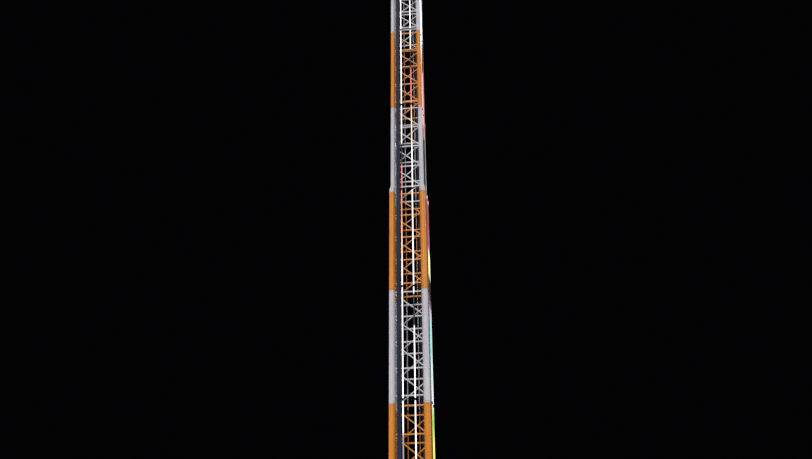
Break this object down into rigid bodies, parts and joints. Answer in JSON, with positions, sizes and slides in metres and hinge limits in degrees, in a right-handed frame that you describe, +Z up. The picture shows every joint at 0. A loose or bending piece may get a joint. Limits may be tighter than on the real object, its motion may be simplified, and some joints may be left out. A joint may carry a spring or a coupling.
{
  "type": "drop tower ride mast, 1:2 scale model",
  "caption": "Square lattice mast of a drop tower ride with banded tube posts, diagonal bracing and light lines on every side, guide rails on the front and rear, on a crossed base with bolted feet.",
  "frame": {"origin": "on the ground under the middle of the mast, on the flat underside of the base cross", "axes": "+Z up along the mast, the front side faces -Y, +X to the right of the front side"},
  "size_m": [2.7836, 2.7836, 26.128],
  "materials": {
    "orange_paint": "satin traffic-orange paint",
    "white_paint": "satin off-white paint",
    "rail_steel": "dark slate-blue steel",
    "base_steel": "dark grey paint",
    "light_tube": "smoked diffuser, lit in stretches"
  },
  "bodies": {
    "root": {"base_cross": "base_steel", "pedestal_posts": "white_paint", "pedestal_lattice": "white_paint", "section_1_posts": "orange_paint", "section_2_posts": "white_paint", "section_3_posts": "orange_paint", "section_4_posts": "white_paint", "section_5_posts": "orange_paint", "section_6_posts": "white_paint", "lattice_front_orange": "orange_paint", "lattice_front_white": "white_paint", "lattice_right_orange": "orange_paint", "lattice_right_white": "white_paint", "lattice_rear_orange": "orange_paint", "lattice_rear_white": "white_paint", "lattice_left_orange": "orange_paint", "lattice_left_white": "white_paint", "guide_rail_front": "rail_steel", "guide_rail_rear": "rail_steel", "light_lines_front": "light_tube", "light_lines_right": "light_tube", "light_lines_rear": "light_tube", "light_lines_left": "light_tube", "head_frame": "white_paint"}
  },
  "joints": []
}
